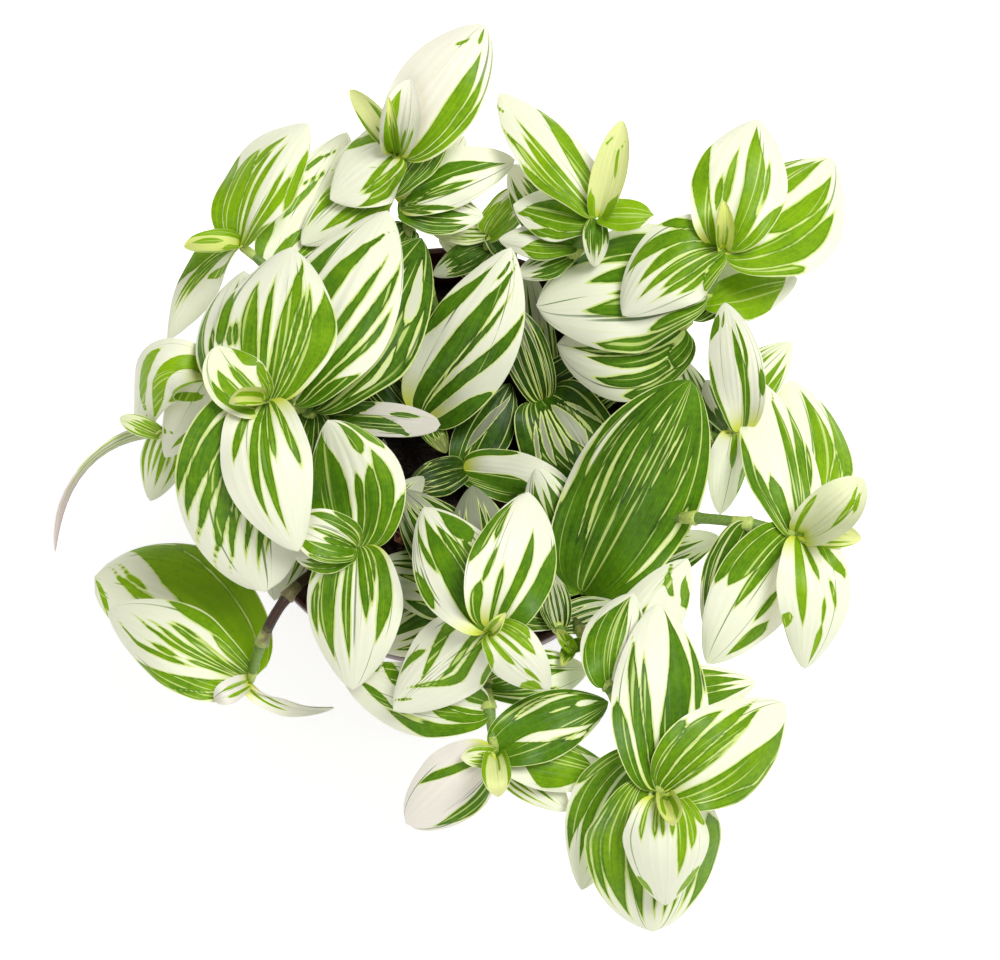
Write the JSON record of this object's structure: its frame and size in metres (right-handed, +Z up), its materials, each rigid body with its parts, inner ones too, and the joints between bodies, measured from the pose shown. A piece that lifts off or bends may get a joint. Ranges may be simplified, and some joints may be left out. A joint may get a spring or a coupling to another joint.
{
  "type": "potted plant",
  "caption": "Potted trailing houseplant with white-striped green leaves, in a tapered round plastic nursery pot filled with soil; stands on a table or shelf.",
  "frame": {"origin": "middle of the pot's foot, on the surface that the pot stands on", "axes": "+Z up, along the axis of the pot; -Y is the front, the side of the plant nearest the camera; +X is to the right seen from the front"},
  "size_m": [0.2194, 0.2408, 0.1605],
  "materials": {
    "pot": "satin dark maroon plastic",
    "soil": null,
    "foliage": null
  },
  "bodies": {
    "root": {"pot": "pot", "soil": "soil", "stem_back_left": "foliage", "stem_left": "foliage", "stem_far_left": "foliage", "stem_left_edge": "foliage", "stem_back": "foliage", "stem_back_lower": "foliage", "stem_rim": "foliage", "stem_middle_left": "foliage", "stem_back_right": "foliage", "stem_right_upper": "foliage", "stem_right_middle": "foliage", "stem_middle_right": "foliage", "stem_middle_back": "foliage", "stem_middle": "foliage", "stem_right": "foliage", "stem_front_left": "foliage", "stem_front": "foliage", "stem_front_bud": "foliage", "stem_front_low": "foliage", "stem_front_right": "foliage", "stem_hanging": "foliage"}
  },
  "joints": []
}
